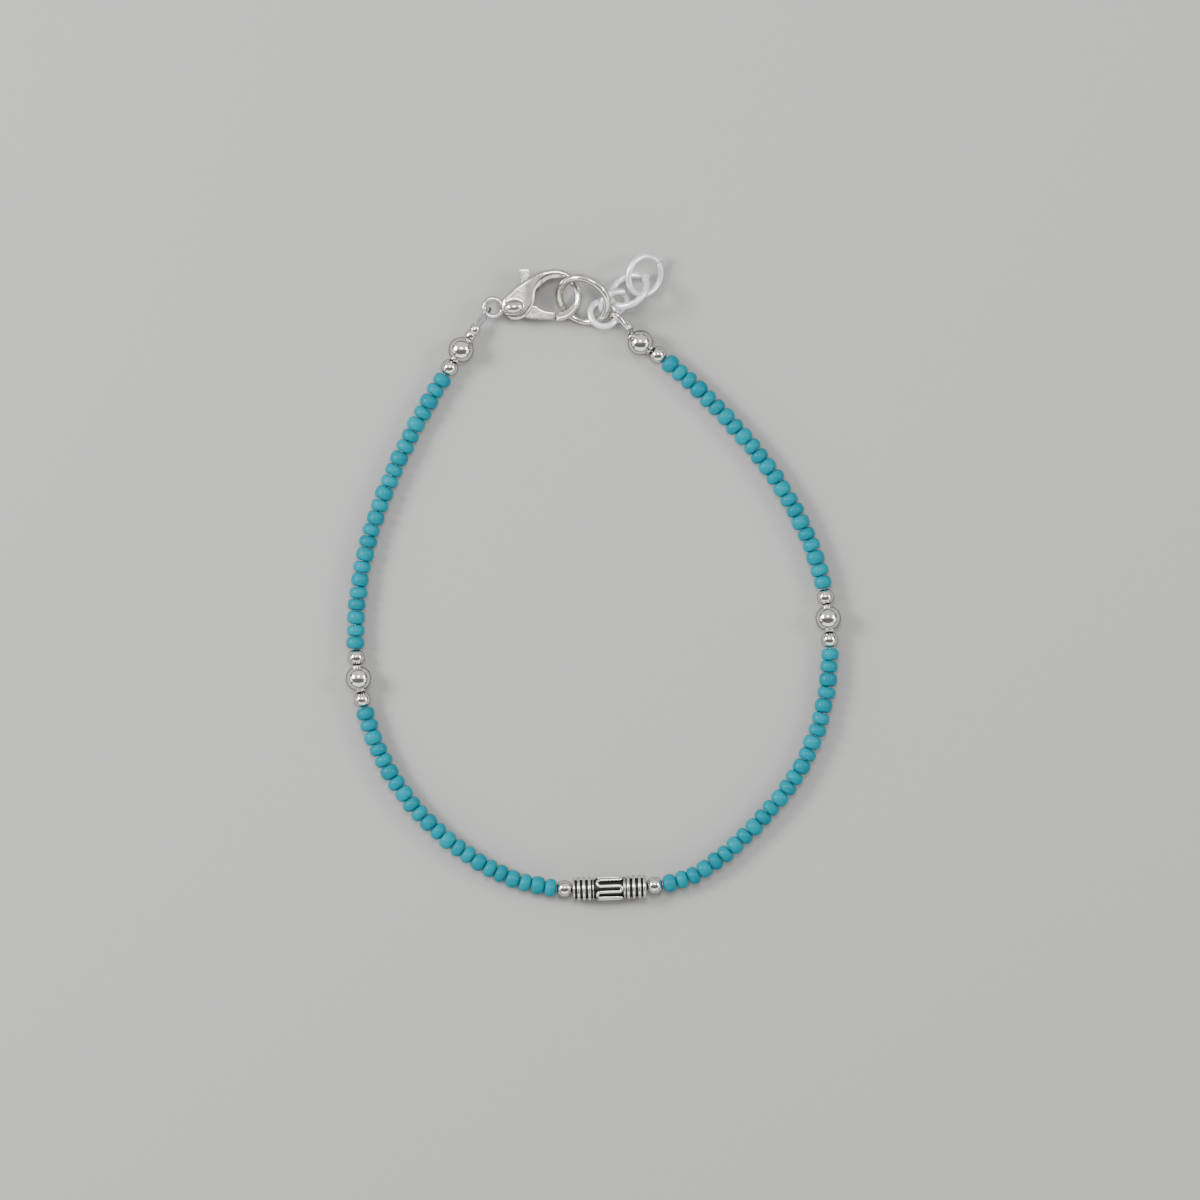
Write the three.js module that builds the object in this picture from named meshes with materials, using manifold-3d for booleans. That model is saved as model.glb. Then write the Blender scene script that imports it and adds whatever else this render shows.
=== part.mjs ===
// A bracelet of turquoise seed beads and silver beads strung on wire, lying flat with its lobster
// clasp fastened. Millimetres, +Z up. The origin is on the surface under the middle of the bracelet.
import * as THREE from 'three';
import { mergeVertices } from 'three/addons/utils/BufferGeometryUtils.js';
import Module from 'manifold-3d';

const wasm = await Module();
wasm.setup();

// Beads: length along the thread, outer radius, bore radius. A raised bead lifts the thread by
// `lift` over its own half length `flat`, and the thread comes down again over `fall`.
const SEED = { kind: 'seed', length: 1.42, radius: 1.075, bore: 0.34, neck: 0.6, wander: 0.26 };
const SMALL = { kind: 'small', length: 1.82, radius: 1.0, bore: 0.42 };
const LARGE = {
  kind: 'large', length: 3.0, radius: 1.5, bore: 0.46, collar: 0.68, lift: 0.425, flat: 0, fall: 4.1,
};
const TUBE = { kind: 'tube', length: 8.6, radius: 1.42, bore: 0.55, lift: 0.345, flat: 4.3, fall: 3.0 };
const CRIMP = { kind: 'crimp', length: 1.8, radius: 0.68, bore: 0.4, height: 1.38 };

// The strand starts at the middle of the tube bead and runs both ways round the wrist
const START = { x: 1.91, y: -36.66, heading: 2 };
const SLACK = { left: 0.086, right: 0.106 };

// Rows of like beads, in order from the tube bead: how many, and the degrees that the row turns
const RIGHT_ROUTE = [
  { item: SMALL, count: 1, turn: 3 },
  { item: SEED, count: 1, turn: 5 },
  { item: SEED, count: 3, turn: 24 },
  { item: SEED, count: 4, turn: 11 },
  { item: SEED, count: 4, turn: 5 },
  { item: SEED, count: 4, turn: 15 },
  { item: SEED, count: 4, turn: 13 },
  { item: SEED, count: 4, turn: 11 },
  { item: SMALL, count: 1, turn: 3.25 },
  { item: LARGE, count: 1, turn: 3.25 },
  { item: SMALL, count: 1, turn: 3.25 },
  { item: SEED, count: 1, turn: 3.25 },
  { item: SEED, count: 3, turn: 10 },
  { item: SEED, count: 4, turn: 8 },
  { item: SEED, count: 5, turn: 10 },
  { item: SEED, count: 5, turn: 5 },
  { item: SEED, count: 4, turn: 6 },
  { item: SMALL, count: 1, turn: 3 },
  { item: LARGE, count: 1, turn: 3 },
];
const LEFT_ROUTE = [
  { item: SMALL, count: 1, turn: -3 },
  { item: SEED, count: 1, turn: -5 },
  { item: SEED, count: 5, turn: -23 },
  { item: SEED, count: 5, turn: -13 },
  { item: SEED, count: 5, turn: -15 },
  { item: SEED, count: 6, turn: -18 },
  { item: SMALL, count: 1, turn: -3.5 },
  { item: LARGE, count: 1, turn: -3.5 },
  { item: SMALL, count: 1, turn: -3.5 },
  { item: SEED, count: 1, turn: -3.5 },
  { item: SEED, count: 4, turn: -8 },
  { item: SEED, count: 6, turn: -12 },
  { item: SEED, count: 6, turn: -7 },
  { item: SEED, count: 6, turn: -6 },
  { item: SMALL, count: 1, turn: -0.7 },
  { item: LARGE, count: 1, turn: -0.7 },
  { item: CRIMP, count: 1, turn: -0.6 },
];

// Tube bead: raised rings by their place along the bead and half their width, the groove between
// two rings, and a ribbed barrel in the middle
const TUBE_RINGS = [
  { at: -4.2, half: 0.1 },
  { at: -3.65, half: 0.2 },
  { at: -3.02, half: 0.2 },
  { at: -2.37, half: 0.2 },
  { at: 2.21, half: 0.2 },
  { at: 2.87, half: 0.2 },
  { at: 3.54, half: 0.2 },
  { at: 4.12, half: 0.18 },
];
const TUBE_GROOVE = 1.15;
const BARREL = {
  from: -1.62, to: 1.9, inner: 1.0, valley: 1.22, pairs: 5, first: 166.6, wide: 40, narrow: 32,
};

// The wire, and the small bent tube that guards it round the first link
const WIRE_RADIUS = 0.15;
const GUARD = { outer: 0.3, bore: 0.21 };

// The wire's loop round the clasp's eye, measured from the crimp: forward, to the left, and up
const EYE_LOOP = [
  { forward: -1.25, left: 0.19, up: 0.08 },
  { forward: -0.5, left: 0.2, up: 0.02 },
  { forward: 0.4, left: 0.2, up: 0 },
  { forward: 1, left: 0.2, up: 0.04 },
  { forward: 1.45, left: 0.2, up: 0.17 },
  { forward: 1.95, left: 0.2, up: 0.42 },
  { forward: 2.35, left: 0.17, up: 0.64 },
  { forward: 2.72, left: 0.1, up: 0.79 },
  { forward: 2.98, left: 0.04, up: 0.82 },
  { forward: 3.22, left: -0.03, up: 0.74 },
  { forward: 3.38, left: -0.09, up: 0.57 },
  { forward: 3.45, left: -0.14, up: 0.36 },
  { forward: 3.43, left: -0.18, up: 0.12 },
  { forward: 3.32, left: -0.22, up: -0.08 },
  { forward: 3.1, left: -0.26, up: -0.2 },
  { forward: 2.8, left: -0.3, up: -0.24 },
  { forward: 2.4, left: -0.33, up: -0.2 },
  { forward: 1.9, left: -0.33, up: -0.12 },
  { forward: 1.35, left: -0.28, up: -0.05 },
  { forward: 0.9, left: -0.21, up: 0 },
  { forward: 0.4, left: -0.2, up: 0 },
  { forward: -0.5, left: -0.2, up: 0.02 },
  { forward: -1.25, left: -0.17, up: 0.08 },
];

// The wire's loop round the first link, from the last large ball and back into it, in the
// bracelet's frame; the guard tube covers the points marked so
const LINK_LOOP = [
  { x: 5.14, y: 28.15, z: 1.49 },
  { x: 4.49, y: 28.61, z: 1.45 },
  { x: 4.47, y: 28.95, z: 1.36 },
  { x: 4.5, y: 29.3, z: 1.24, guard: true },
  { x: 4.2, y: 29.8, z: 1.1, guard: true },
  { x: 3.72, y: 30.12, z: 1, guard: true },
  { x: 3.2, y: 30.24, z: 0.97, guard: true },
  { x: 2.72, y: 30.33, z: 1.01, guard: true },
  { x: 2.4, y: 30.46, z: 1.12, guard: true },
  { x: 2.17, y: 30.6, z: 1.32, guard: true },
  { x: 2.04, y: 30.74, z: 1.6, guard: true },
  { x: 2.05, y: 30.86, z: 1.91, guard: true },
  { x: 2.18, y: 30.94, z: 2.16, guard: true },
  { x: 2.4, y: 30.97, z: 2.35, guard: true },
  { x: 2.67, y: 30.93, z: 2.46, guard: true },
  { x: 2.93, y: 30.76, z: 2.49, guard: true },
  { x: 3.18, y: 30.45, z: 2.46, guard: true },
  { x: 3.45, y: 30.08, z: 2.36, guard: true },
  { x: 3.74, y: 29.68, z: 2.2, guard: true },
  { x: 3.98, y: 29.34, z: 2, guard: true },
  { x: 4.12, y: 29.02, z: 1.8 },
  { x: 4.2, y: 28.66, z: 1.64 },
  { x: 4.32, y: 28.35, z: 1.56 },
  { x: 4.62, y: 28.07, z: 1.5 },
  { x: 4.92, y: 27.89, z: 1.5 },
];

// Jump rings: wire radius, ring radius, middle, tilt and the direction that the tilt faces down,
// the place of the cut in the ring's own plane, and how far one cut end stands out
const RINGS = [
  {
    name: 'jump_ring', wire: 0.45, radius: 3.05, x: -1.18, y: 32.68, z: 2.49,
    tilt: 40, low: 238, cut: 290, out: 0,
  },
  {
    name: 'link_ring_1', wire: 0.38, radius: 1.58, x: 1.21, y: 31.05, z: 1.82,
    tilt: 21.3, low: 70, cut: 110, out: 0,
  },
  {
    name: 'link_ring_2', wire: 0.38, radius: 1.59, x: 2.41, y: 32.29, z: 1.48,
    tilt: 43, low: 305, cut: 52, out: 0.25,
  },
  {
    name: 'extender_ring_1', wire: 0.38, radius: 2.32, x: 4.2, y: 33.77, z: 2.33,
    tilt: 46.9, low: 124, cut: 41, out: 0.3,
  },
  {
    name: 'extender_ring_2', wire: 0.38, radius: 2.32, x: 6.03, y: 35.59, z: 1.79,
    tilt: 37, low: 340, cut: 45, out: 0.12,
  },
];
const RING_CUT = 4;

// The clasp: its eye is the origin of its own measures
const CLASP = { x: -11.82, y: 31.8, z: 1.68 };
const EYE = { outer: 1.3, hole: 0.82, half: 0.32 };
const HOOK = { x: 7.3, y: 1.42, outer: 3.15, inX: 7.42, inY: 1.39, inRx: 2.22, inRy: 2.05, half: 0.55 };
const BODY_HALF = 1.15;
const NECK_HALF = 0.82;
const BELLY = { x: 2.65, y: 0, rx: 1.75, ry: 1.2, rz: 1.5 };
const PIVOT = { x: 2.4, y: -0.2, pin: 0.45, hole: 0.53, hub: 0.95 };
const LEVER_HALF = 0.5;
const SLOT_HALF = 0.62;
const GATE = { reach: 4.92, slot: 5.04 };

// Outlines of the clasp in the eye's measures
const PLATE_OUTLINE = [
  [0.95, 0.85], [1.14, 1.18], [2.04, 1.82], [2.68, 2.49], [3.35, 2.94], [4.3, 3.62], [4.75, 3.82],
  [5.1, 3.1], [5.25, 2.1], [5.2, 1.3], [5.04, 0.28], [3.9, -1.2], [2.45, -1.5], [1.77, -1.17], [1.1, -0.6],
];
const NECK_OUTLINE = [
  [3.6, 3.05], [4.3, 3.62], [5.2, 4.07], [5.92, 4.36], [6.25, 3.7], [5.78, 2.85], [5.34, 2.1], [4.4, 2],
];
const GATE_OUTLINE = [
  [2.9, 0.5], [4.2, 0.2], [5.06, 0.17], [5.48, -0.18], [6.1, -0.45], [7.2, -0.6],
];
const GATE_UNDERSIDE = [[4.76, -1.39], [3.94, -1.26], [3.15, -0.78]];
const TAB_OUTLINE = [
  [2.98, 0.55], [3.4, 1.75], [4.26, 3.6], [4.32, 4.2], [4.14, 4.5], [3.2, 4.52], [3.1, 4.3], [3.32, 3.05],
  [2.72, 1.8], [2.15, 0.6],
];

// Colours of the silver and of the turquoise
const SILVER = new THREE.MeshStandardMaterial({ color: 0xd9d8d2, roughness: 0.24, metalness: 1 });
const WHITE_SILVER = new THREE.MeshStandardMaterial({ color: 0xe4e6e6, roughness: 0.42, metalness: 1 });
const WIRE_STEEL = new THREE.MeshStandardMaterial({ color: 0xa9adad, roughness: 0.35, metalness: 1 });
const TURQUOISE = new THREE.MeshStandardMaterial({ color: 0x10b2bd, roughness: 0.5, metalness: 0 });

const UP = new THREE.Vector3(0, 0, 1);
const rad = THREE.MathUtils.degToRad;
const vec = (x, y, z) => new THREE.Vector3(x, y, z);

// A repeatable value from -0.5 to 0.5, so that no two beads in a row are alike
function spread(index, factor) {
  const value = index * factor;
  return value - Math.floor(value) - 0.5;
}

// Walks one side of the strand from the tube bead and gives its items in order
function walkSide(route, heading, slack) {
  const items = [];
  let { x, y } = START;
  let angle = heading;
  let lastLength = TUBE.length;
  for (const row of route) {
    const halfTurn = row.turn / row.count / 2;
    for (let i = 0; i < row.count; i++) {
      const step = (lastLength + row.item.length) / 2 + slack;
      angle += halfTurn;
      x += step * Math.cos(rad(angle));
      y += step * Math.sin(rad(angle));
      angle += halfTurn;
      lastLength = row.item.length;
      items.push({ ...row.item, x, y });
    }
  }
  return items;
}

// How high the thread is over its lowest line at a distance from a raised bead
function liftAt(raised, distance) {
  return raised.lift * Math.max(0, 1 - Math.max(0, distance - raised.flat) / raised.fall);
}

// The whole strand from the crimp to the last large ball, with every thread point and its direction
function layStrand() {
  const left = walkSide(LEFT_ROUTE, START.heading + 180, SLACK.left);
  const right = walkSide(RIGHT_ROUTE, START.heading, SLACK.right);
  const strand = [...left.reverse(), { ...TUBE, x: START.x, y: START.y }, ...right];
  strand.forEach((item, i) => {
    const before = strand[Math.max(0, i - 1)];
    item.along = (before.along ?? 0) + Math.hypot(item.x - before.x, item.y - before.y);
  });
  const raised = strand.filter((item) => item.lift);
  for (const item of strand) {
    const lifts = raised.map((bead) => liftAt(bead, Math.abs(bead.along - item.along)));
    item.point = vec(item.x, item.y, item.height ?? SEED.radius + Math.max(...lifts));
  }
  strand.forEach((item, i) => {
    const before = strand[Math.max(0, i - 1)].point;
    const after = strand[Math.min(strand.length - 1, i + 1)].point;
    item.axis = after.clone().sub(before).normalize();
  });
  strand[0].axis.setZ(0).normalize();
  strand.at(-1).axis.setZ(0).normalize();
  return strand;
}

// A ring of eight points round an axis, one of them straight down
function hoop(centre, axis, radius) {
  const up = UP.clone().addScaledVector(axis, -axis.z).normalize();
  const side = up.clone().cross(axis);
  return Array.from({ length: 8 }, (_, k) => {
    const angle = rad(45 * k - 90);
    return centre.clone().addScaledVector(side, radius * Math.cos(angle))
      .addScaledVector(up, radius * Math.sin(angle));
  });
}

// A closed skin through rings of points, the last joined back to the first
function closedLoft(rings) {
  const sides = rings[0].length;
  const index = [];
  rings.forEach((ring, i) => {
    const here = i * sides;
    const next = ((i + 1) % rings.length) * sides;
    for (let k = 0; k < sides; k++) {
      const l = (k + 1) % sides;
      index.push(here + k, here + l, next + l, here + k, next + l, next + k);
    }
  });
  const geometry = new THREE.BufferGeometry().setFromPoints(rings.flat());
  geometry.setIndex(index);
  return geometry;
}

// The point of the thread where two beads meet: seeds differ in length, so it wanders a little
function meeting(strand, i) {
  const before = strand[i - 1];
  const after = strand[i];
  if (before.kind !== 'seed') {
    return after.point.clone().addScaledVector(after.axis, -SEED.length / 2);
  }
  if (after.kind !== 'seed') {
    return before.point.clone().addScaledVector(before.axis, SEED.length / 2);
  }
  const middle = before.point.clone().add(after.point).multiplyScalar(0.5);
  return middle.addScaledVector(after.axis, SEED.wander * spread(i, 0.618034));
}

// Seed beads joined along their thread: a narrow waist between beads, and a bore right through
function seedRun(strand, first, count) {
  const outer = [hoop(meeting(strand, first), strand[first].axis, SEED.neck)];
  const bore = [hoop(meeting(strand, first), strand[first].axis, SEED.bore)];
  for (let i = first; i < first + count; i++) {
    const { axis } = strand[i];
    const start = meeting(strand, i);
    const end = meeting(strand, i + 1);
    const side = UP.clone().cross(axis).normalize();
    const radius = SEED.radius * (1 + 0.06 * spread(i, 0.754878));
    const centre = start.clone().add(end).multiplyScalar(0.5);
    const reach = 0.3 * start.distanceTo(end);
    centre.addScaledVector(side, 0.12 * spread(i, 0.324718));
    centre.z = Math.max(centre.z, SEED.radius + Math.abs(axis.z) * reach) + radius - SEED.radius;
    const lean = axis.clone().applyAxisAngle(UP, rad(10 * spread(i, 0.56984)));
    outer.push(hoop(centre.clone().addScaledVector(lean, -reach), lean, radius));
    outer.push(hoop(centre.clone().addScaledVector(lean, reach), lean, radius));
    outer.push(hoop(end, axis, SEED.neck));
    bore.push(hoop(end, axis, SEED.bore));
  }
  return closedLoft([...outer, ...bore.reverse()]);
}

// A turned piece from a closed half section of [radius, height], with its axis along +Z
function turned(section, sides) {
  const points = [...section, section[0]].map(([r, h]) => new THREE.Vector2(r, h));
  return new THREE.LatheGeometry(points, sides).rotateX(Math.PI / 2);
}

// Points of a round bead's outside from one end to the other
function roundSide(radius, endRadius, steps) {
  const start = Math.asin(endRadius / radius);
  return Array.from({ length: steps + 1 }, (_, k) => {
    const angle = start + ((Math.PI - 2 * start) * k) / steps;
    return [radius * Math.sin(angle), -radius * Math.cos(angle)];
  });
}

function smallBall() {
  return turned(roundSide(SMALL.radius, SMALL.bore, 6), 10);
}

// A large ball has a short collar round each end of its bore
function largeBall() {
  const half = LARGE.length / 2;
  const side = roundSide(LARGE.radius, LARGE.collar + 0.02, 6);
  const { bore, collar } = LARGE;
  return turned([[bore, -half], [collar, -half], ...side, [collar, half], [bore, half]], 12);
}

function crimp() {
  const { bore, radius } = CRIMP;
  const section = [
    [bore, -0.9], [0.55, -0.9], [radius, -0.65], [radius, -0.25], [0.57, -0.02], [0.66, 0.2], [0.64, 0.6],
    [0.52, 0.9], [bore, 0.9],
  ];
  return turned(section, 10);
}

// Turns a three.js geometry into a solid that can be joined and cut, and back again
function toSolid(geometry) {
  const bare = geometry.index ? geometry.clone() : geometry;
  bare.deleteAttribute('normal');
  bare.deleteAttribute('uv');
  const merged = mergeVertices(bare, 1e-4);
  return new wasm.Manifold(new wasm.Mesh({
    numProp: 3,
    vertProperties: new Float32Array(merged.attributes.position.array),
    triVerts: new Uint32Array(merged.index.array),
  }));
}

function fromSolid(solid) {
  const { vertProperties, triVerts } = solid.getMesh();
  const geometry = new THREE.BufferGeometry();
  geometry.setAttribute('position', new THREE.BufferAttribute(vertProperties, 3));
  geometry.setIndex(new THREE.BufferAttribute(triVerts, 1));
  return geometry;
}

function outline(points) {
  return new THREE.Shape(points.map(([x, y]) => new THREE.Vector2(x, y)));
}

// A flat slab of an outline, centred on its own plane
function slab(shape, half) {
  return new THREE.ExtrudeGeometry(shape, { depth: 2 * half, bevelEnabled: false }).translate(0, 0, -half);
}

// The same with sloped edges: full size at the middle, smaller at both faces
function eased(shape, half, slope) {
  const flat = half - slope;
  return new THREE.ExtrudeGeometry(shape, {
    depth: 2 * flat, bevelEnabled: true, bevelThickness: slope, bevelSize: slope, bevelOffset: -slope,
    bevelSegments: 1,
  }).translate(0, 0, -flat);
}

// A circle or a sector as an outline
function arcPoints(x, y, radius, from, to, steps) {
  return Array.from({ length: steps + 1 }, (_, k) => {
    const angle = rad(from + ((to - from) * k) / steps);
    return [x + radius * Math.cos(angle), y + radius * Math.sin(angle)];
  });
}

function disc(x, y, radius, half, sides) {
  return slab(outline(arcPoints(x, y, radius, 0, 360, sides).slice(0, -1)), half);
}

function sector(radius, from, to, half) {
  const { x, y } = PIVOT;
  return slab(outline([[x, y], ...arcPoints(x, y, radius, from, to, 8)]), half);
}

function polygon(radius, sides) {
  return outline(arcPoints(0, 0, radius, 0, 360, sides).slice(0, -1));
}

// The tube bead: ringed ends, and ribs along the barrel between them
function tubeBead() {
  const half = TUBE.length / 2;
  const rings = TUBE_RINGS.flatMap(({ at, half: side }) => [
    [TUBE_GROOVE, at - side], [TUBE.radius, at - side / 2],
    [TUBE.radius, at + side / 2], [TUBE_GROOVE, at + side],
  ]);
  const core = turned([[TUBE.bore, -half], ...rings, [TUBE.bore, half]], 14);
  const rib = [[BARREL.valley, -9], [TUBE.radius, -6], [TUBE.radius, 6], [BARREL.valley, 9]];
  const { pairs, first, wide, narrow } = BARREL;
  const places = Array.from({ length: pairs }, (_, k) => first + k * (wide + narrow))
    .flatMap((place) => [place, place + narrow]);
  const teeth = places.flatMap((place) => rib.map(([r, offset]) => {
    const angle = rad(place + offset);
    return [r * Math.cos(angle), r * Math.sin(angle)];
  }));
  const shape = outline(teeth);
  shape.holes.push(polygon(BARREL.inner, 14));
  const length = BARREL.to - BARREL.from;
  const barrel = slab(shape, length / 2).translate(0, 0, BARREL.from + length / 2);
  return fromSolid(toSolid(core).add(toSolid(barrel)));
}

// A curve that an extrusion samples exactly at its own points, fine on bends and coarse elsewhere
class PointPath extends THREE.CatmullRomCurve3 {
  getPointAt(u, target) {
    return this.getPoint(u, target);
  }

  getTangentAt(u, target) {
    return this.getTangent(u, target);
  }
}

function alongPoints(shape, points) {
  const extrudePath = new PointPath(points, false, 'centripetal');
  return new THREE.ExtrudeGeometry(shape, { steps: points.length - 1, bevelEnabled: false, extrudePath });
}

// The one length of wire: round the clasp's eye, through every bead, and round the first link
function beadWire(strand) {
  const [end] = strand;
  const forward = end.axis.clone().negate();
  const left = UP.clone().cross(forward);
  const eyeLoop = EYE_LOOP.map((row) => end.point.clone().addScaledVector(forward, row.forward)
    .addScaledVector(left, row.left).addScaledVector(UP, row.up));
  const thread = strand.slice(1).flatMap((item) => {
    const places = item.kind === 'tube' ? [-0.42, -0.2, 0, 0.2, 0.42] : [0];
    return places.map((place) => item.point.clone().addScaledVector(item.axis, place * item.length));
  });
  const linkLoop = LINK_LOOP.map(({ x, y, z }) => vec(x, y, z));
  return alongPoints(polygon(WIRE_RADIUS, 6), [...eyeLoop, ...thread, ...linkLoop]);
}

function wireGuard() {
  const points = LINK_LOOP.filter((row) => row.guard).map(({ x, y, z }) => vec(x, y, z));
  const shape = polygon(GUARD.outer, 8);
  shape.holes.push(polygon(GUARD.bore, 8));
  return alongPoints(shape, points);
}

// A jump ring: round wire bent in a circle, with a narrow cut; one end may stand out a little
function jumpRing(row) {
  const steps = row.radius > 2 ? 32 : 26;
  const sweep = 360 - RING_CUT * (2.32 / row.radius);
  const points = Array.from({ length: steps + 1 }, (_, k) => {
    const turn = (sweep * k) / steps;
    const angle = rad(row.cut + (360 - sweep) / 2 + turn);
    const reach = row.radius + row.out * Math.max(0, 1 - turn / 35) ** 2;
    return vec(reach * Math.cos(angle), reach * Math.sin(angle), 0);
  });
  return alongPoints(polygon(row.wire, 8), points);
}

// The clasp's body: a hook and two cheeks in one casting, slotted for the lever, with its pin
function claspBody() {
  const { x, y, outer, inX, inY, inRx, inRy } = HOOK;
  const outside = arcPoints(x, y, outer, 150, -96, 26);
  const inside = arcPoints(0, 0, 1, -98, 162, 22).map(([u, v]) => [inX + inRx * u, inY + inRy * v]);
  const hook = toSolid(eased(outline([...outside, ...inside].reverse()), HOOK.half, 0.2));
  const plate = toSolid(eased(outline([...PLATE_OUTLINE].reverse()), BODY_HALF, 0.3))
    .add(toSolid(eased(outline([...NECK_OUTLINE].reverse()), NECK_HALF, 0.25)));
  const belly = new THREE.SphereGeometry(1, 16, 8).scale(BELLY.rx, BELLY.ry, BELLY.rz);
  belly.translate(BELLY.x, BELLY.y, 0);
  const middle = (EYE.outer + EYE.hole) / 2;
  const wall = (EYE.outer - EYE.hole) / 2;
  const eye = turned(arcPoints(middle, 0, 1, 0, 360, 8).slice(0, -1)
    .map(([r, h]) => [middle + (r - middle) * wall, h * EYE.half]), 20);
  const slot = toSolid(sector(GATE.slot, -38, 41, SLOT_HALF))
    .add(toSolid(sector(6, 60.5, 115, SLOT_HALF)))
    .add(toSolid(sector(2, 34, 124, SLOT_HALF)))
    .add(toSolid(disc(PIVOT.x, PIVOT.y, 1.1, SLOT_HALF, 20)));
  const clear = toSolid(slab(outline(arcPoints(PIVOT.x, PIVOT.y, GATE.slot, -20, 30, 10)
    .concat([[5.9, 1.2], [5.6, -1.6]])), 1));
  const pin = toSolid(disc(PIVOT.x, PIVOT.y, PIVOT.pin, SLOT_HALF + 0.1, 16));
  const body = toSolid(belly).add(plate).add(hook.subtract(clear)).subtract(slot).add(toSolid(eye)).add(pin);
  return fromSolid(body);
}

// The lever: a hub on the pin, the gate that closes the hook and the tab for the thumb
function claspLever() {
  const end = arcPoints(PIVOT.x, PIVOT.y, GATE.reach, -4.6, -15.4, 3);
  const gate = toSolid(slab(outline([...GATE_OUTLINE, ...end, ...GATE_UNDERSIDE].reverse()), LEVER_HALF));
  const tab = toSolid(slab(outline(TAB_OUTLINE), LEVER_HALF));
  const hub = toSolid(disc(PIVOT.x, PIVOT.y, PIVOT.hub, LEVER_HALF, 16));
  const hole = toSolid(disc(PIVOT.x, PIVOT.y, PIVOT.hole, LEVER_HALF + 0.2, 16));
  return fromSolid(hub.add(gate).add(tab).subtract(hole));
}

function piece(name, geometry, material) {
  const mesh = new THREE.Mesh(geometry, material);
  mesh.name = name;
  return mesh;
}

// Sets a turned piece on the thread, with its axis along it
function onThread(mesh, item) {
  mesh.position.copy(item.point);
  mesh.quaternion.setFromUnitVectors(UP, item.axis);
  return mesh;
}

const bracelet = new THREE.Group();
bracelet.name = 'bracelet';
const strand = layStrand();

// Where each kind of bead comes along the strand, from the crimp
const RUN_NAMES = [
  'seed_run_back_left', 'seed_run_front_left', 'seed_run_front_right', 'seed_run_back_right',
];
const SMALL_NAMES = [
  'small_ball_end_left', 'small_ball_left_back', 'small_ball_left_front', 'small_ball_tube_left',
  'small_ball_tube_right', 'small_ball_right_front', 'small_ball_right_back', 'small_ball_end_right',
];
const LARGE_NAMES = ['large_ball_end_left', 'large_ball_left', 'large_ball_right', 'large_ball_end_right'];

const runStarts = strand.map((item, i) => i)
  .filter((i) => strand[i].kind === 'seed' && strand[i - 1].kind !== 'seed');
runStarts.forEach((first, k) => {
  const after = strand.findIndex((item, i) => i > first && item.kind !== 'seed');
  bracelet.add(piece(RUN_NAMES[k], seedRun(strand, first, after - first), TURQUOISE));
});
strand.filter((item) => item.kind === 'small').forEach((item, k) => {
  bracelet.add(onThread(piece(SMALL_NAMES[k], smallBall(), SILVER), item));
});
strand.filter((item) => item.kind === 'large').forEach((item, k) => {
  bracelet.add(onThread(piece(LARGE_NAMES[k], largeBall(), SILVER), item));
});
bracelet.add(onThread(piece('tube_bead', tubeBead(), SILVER), strand.find((item) => item.kind === 'tube')));
bracelet.add(onThread(piece('crimp', crimp(), SILVER), strand[0]));
bracelet.add(piece('bead_wire', beadWire(strand), WIRE_STEEL));
bracelet.add(piece('wire_guard', wireGuard(), SILVER));

const clasp = new THREE.Group();
clasp.position.set(CLASP.x, CLASP.y, CLASP.z);
clasp.add(piece('clasp_body', claspBody(), SILVER));
clasp.add(piece('clasp_lever', claspLever(), SILVER));
bracelet.add(clasp);

for (const row of RINGS) {
  const ring = piece(row.name, jumpRing(row), row.name === 'jump_ring' ? SILVER : WHITE_SILVER);
  ring.position.set(row.x, row.y, row.z);
  const level = vec(-Math.sin(rad(row.low)), Math.cos(rad(row.low)), 0);
  ring.quaternion.setFromAxisAngle(level, rad(row.tilt));
  bracelet.add(ring);
}

export default bracelet;
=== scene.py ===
import bmesh
import bpy
import math
import numpy as np
from mathutils import Matrix, Quaternion, Vector
from mathutils.geometry import delaunay_2d_cdt
from types import SimpleNamespace


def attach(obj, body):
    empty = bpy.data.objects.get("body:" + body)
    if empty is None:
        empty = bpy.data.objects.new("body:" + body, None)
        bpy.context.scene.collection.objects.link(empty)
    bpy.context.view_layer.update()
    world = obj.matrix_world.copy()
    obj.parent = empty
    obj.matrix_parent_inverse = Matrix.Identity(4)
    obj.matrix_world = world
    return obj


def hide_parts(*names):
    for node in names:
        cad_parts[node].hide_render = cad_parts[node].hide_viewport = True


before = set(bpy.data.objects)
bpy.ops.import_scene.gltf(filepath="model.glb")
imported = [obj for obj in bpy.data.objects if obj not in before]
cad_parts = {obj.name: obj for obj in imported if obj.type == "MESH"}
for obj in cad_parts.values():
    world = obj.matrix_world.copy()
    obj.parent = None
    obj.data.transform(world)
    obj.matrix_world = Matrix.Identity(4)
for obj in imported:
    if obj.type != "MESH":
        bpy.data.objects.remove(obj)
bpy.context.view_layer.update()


# Camera: straight above the bracelet, far off and through a long lens, so that it looks flat.
# The view is just wide enough for the closed strand with room round it.
VIEW_WIDTH = 0.1416
VIEW_HEIGHT = 1.5
VIEW_CENTRE = (0.00078, -0.00268)

camera = bpy.data.objects.new("camera", bpy.data.cameras.new("camera"))
camera.location = (*VIEW_CENTRE, VIEW_HEIGHT)
camera.data.lens = camera.data.sensor_width * VIEW_HEIGHT / VIEW_WIDTH
camera.data.clip_end = 10
bpy.context.scene.collection.objects.link(camera)
bpy.context.scene.camera = camera


# Table and lights: a pale matt table under a wide soft panel and three brighter lamps, the
# strongest on the left, with weaker low lights round it. The room beyond them is dim.
TABLE_SIZE = 3
TABLE_DROP = 0.00002
TABLE_COLOUR = (0.355, 0.352, 0.345, 1)
TABLE_ROUGHNESS = 0.9
ROOM_GREY = (0.19, 0.19, 0.185, 1)

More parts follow.
